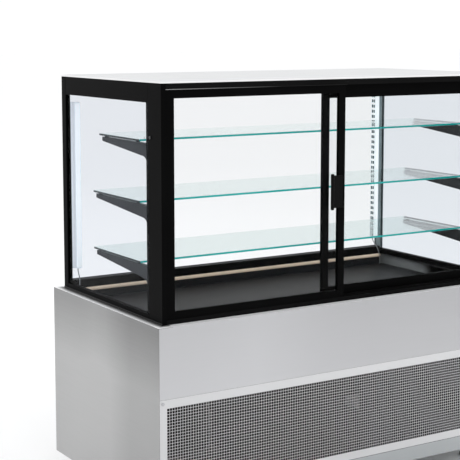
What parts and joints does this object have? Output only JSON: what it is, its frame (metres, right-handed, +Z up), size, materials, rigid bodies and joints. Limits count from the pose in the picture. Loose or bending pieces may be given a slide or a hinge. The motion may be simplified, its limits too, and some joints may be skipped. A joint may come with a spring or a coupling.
{
  "type": "bakery display case",
  "caption": "Floor-standing chilled display case with a glazed black-framed cabin, glass shelves, sliding service doors and a brushed steel base with a vent grille.",
  "frame": {"origin": "middle of the footprint, on the floor", "axes": "+X along the width, -Y towards the service side with the sliding doors, +Y towards the customer glass, +Z up"},
  "size_m": [1.238, 0.657, 1.2],
  "materials": {
    "galvanised_steel": "galvanised sheet",
    "brushed_steel": "fine satin brushing",
    "grille_steel": "satin perforated sheet",
    "well_liner": "satin moulded liner over foam",
    "deck_dark": "satin dark grey",
    "cream_plastic": "satin cream",
    "black_frame": "black anodised satin",
    "handle_black": "satin black",
    "top_white": "pale satin",
    "clear_glass": "clear float glass",
    "shelf_glass": "clear with green edges",
    "arm_grey": "dark grey satin paint",
    "clear_pad": "clear soft pad",
    "aluminium": "anodised",
    "light_white": "lit white lens",
    "grey_lead": "grey sheath",
    "black_paint": "semi-gloss black",
    "fin_aluminium": "fine fins",
    "black_plastic": "moulded black",
    "motor_grey": "grey enamel",
    "grey_plastic": "moulded grey",
    "button_grey": "moulded",
    "rocker_green": "translucent moulded",
    "screw_steel": "bright zinc",
    "nylon_white": "natural nylon",
    "foot_black": "black moulded foot"
  },
  "bodies": {
    "case": {"air_outlet_strip": "cream_plastic", "base_tray": "galvanised_steel", "bottom_rails": "black_frame", "bottom_shelf": "shelf_glass", "cable_gland": "black_plastic", "compressor": "black_paint", "condenser_coil": "fin_aluminium", "condenser_fan_motor": "motor_grey", "condenser_shroud": "galvanised_steel", "control_bezel": "black_plastic", "control_box": "grey_plastic", "customer_glass": "clear_glass", "customer_panel": "brushed_steel", "customer_posts": "black_frame", "display_deck": "deck_dark", "door_jambs": "black_frame", "drip_tray": "galvanised_steel", "evaporator_coil": "fin_aluminium", "evaporator_fan_motor": "motor_grey", "grille_panel": "grille_steel", "header_beam": "black_frame", "insulated_well": "well_liner", "left_shelf_arms": "arm_grey", "light_boards": "light_white", "light_channels": "aluminium", "light_leads": "grey_lead", "middle_shelf": "shelf_glass", "panel_screws": "screw_steel", "right_shelf_arms": "arm_grey", "service_panel": "brushed_steel", "shelf_pads": "clear_pad", "shelf_uprights": "black_frame", "side_glass_left": "clear_glass", "side_glass_right": "clear_glass", "side_panel_left": "brushed_steel", "side_panel_right": "brushed_steel", "sill_beam": "black_frame", "top_panel": "top_white", "top_rails": "black_frame", "top_shelf": "shelf_glass", "track_fins": "black_frame"},
    "left_door": {"left_door_stiles": "black_frame", "left_door_rails": "black_frame", "left_door_glass": "clear_glass", "left_door_handle": "handle_black", "left_door_runners": "nylon_white"},
    "right_door": {"right_door_stiles": "black_frame", "right_door_rails": "black_frame", "right_door_glass": "clear_glass", "right_door_handle": "handle_black", "right_door_runners": "nylon_white"},
    "condenser_rotor": {"condenser_fan": "black_plastic"},
    "evaporator_rotor": {"evaporator_fan": "black_plastic"},
    "up_key": {"up_button": "button_grey"},
    "down_key": {"down_button": "button_grey"},
    "rocker": {"power_rocker": "rocker_green"},
    "foot_sl": {"foot_service_left": "foot_black"},
    "foot_sr": {"foot_service_right": "foot_black"},
    "foot_cl": {"foot_customer_left": "foot_black"},
    "foot_cr": {"foot_customer_right": "foot_black"}
  },
  "joints": [
    {"name": "left_door_slide", "type": "slide", "parent": "case", "child": "left_door", "axis": [1, 0, 0], "range_m": [0, 0.575]},
    {"name": "right_door_slide", "type": "slide", "parent": "case", "child": "right_door", "axis": [-1, 0, 0], "range_m": [0, 0.518]},
    {"name": "condenser_fan_spin", "type": "hinge", "parent": "case", "child": "condenser_rotor", "pos_m": [0.25, -0.223, 0.237], "axis": [0, 1, 0], "continuous": true},
    {"name": "evaporator_fan_spin", "type": "hinge", "parent": "case", "child": "evaporator_rotor", "pos_m": [0.176, 0.04, 0.462], "axis": [1, 0, 0], "continuous": true},
    {"name": "up_button_press", "type": "slide", "parent": "case", "child": "up_key", "axis": [0, 1, 0], "range_m": [0, 0.0015], "stiffness_N_per_m": 800},
    {"name": "down_button_press", "type": "slide", "parent": "case", "child": "down_key", "axis": [0, 1, 0], "range_m": [0, 0.0015], "stiffness_N_per_m": 800},
    {"name": "power_rocker_tip", "type": "hinge", "parent": "case", "child": "rocker", "pos_m": [0.552, -0.326, 0.495], "axis": [1, 0, 0], "range_deg": [-7, 7]},
    {"name": "foot_sl_turn", "type": "hinge", "parent": "case", "child": "foot_sl", "pos_m": [-0.535, -0.24, 0.03], "axis": [0, 0, 1], "continuous": true},
    {"name": "foot_sr_turn", "type": "hinge", "parent": "case", "child": "foot_sr", "pos_m": [0.535, -0.24, 0.03], "axis": [0, 0, 1], "continuous": true},
    {"name": "foot_cl_turn", "type": "hinge", "parent": "case", "child": "foot_cl", "pos_m": [-0.535, 0.24, 0.03], "axis": [0, 0, 1], "continuous": true},
    {"name": "foot_cr_turn", "type": "hinge", "parent": "case", "child": "foot_cr", "pos_m": [0.535, 0.24, 0.03], "axis": [0, 0, 1], "continuous": true}
  ]
}
